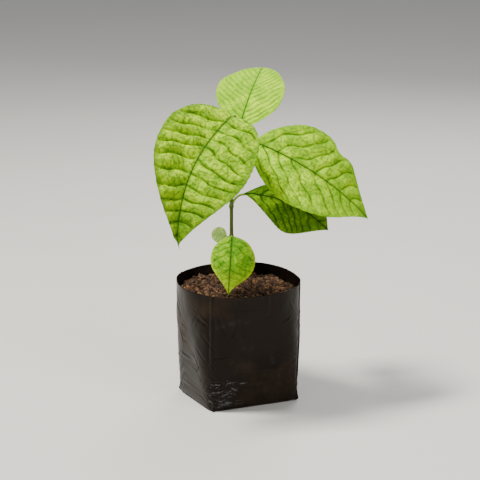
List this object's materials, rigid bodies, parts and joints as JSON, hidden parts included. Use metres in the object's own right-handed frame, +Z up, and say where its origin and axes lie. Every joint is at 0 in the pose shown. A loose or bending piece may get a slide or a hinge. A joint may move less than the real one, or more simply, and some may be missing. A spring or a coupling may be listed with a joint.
{
  "type": "potted tree seedling",
  "caption": "Young bael tree with broad simple leaves on one thin stem, in potting mix in a black film nursery bag.",
  "frame": {"origin": "middle of the bag's flat underside", "axes": "+Z up along the stem, -Y the front that the picture shows, +X to the right as seen from the front"},
  "size_m": [0.1684, 0.1657, 0.2621],
  "materials": {
    "bag_film": "satin",
    "potting_mix": "matte",
    "stem_bark": "matte",
    "leaf_green": "satin",
    "leaf_lime": "satin",
    "leaf_shaded": "satin",
    "leaf_sage": "satin"
  },
  "bodies": {
    "root": {"bag": "bag_film", "potting_mix": "potting_mix", "stem": "stem_bark", "leaf_left_large": "leaf_green", "leaf_right_large": "leaf_green", "leaf_top": "leaf_lime", "leaf_right_lower": "leaf_shaded", "leaf_front_small": "leaf_green", "leaf_pale_round": "leaf_sage", "leaf_back_left": "leaf_green", "leaf_back_right": "leaf_green", "shoot_tip": "leaf_lime"}
  },
  "joints": []
}
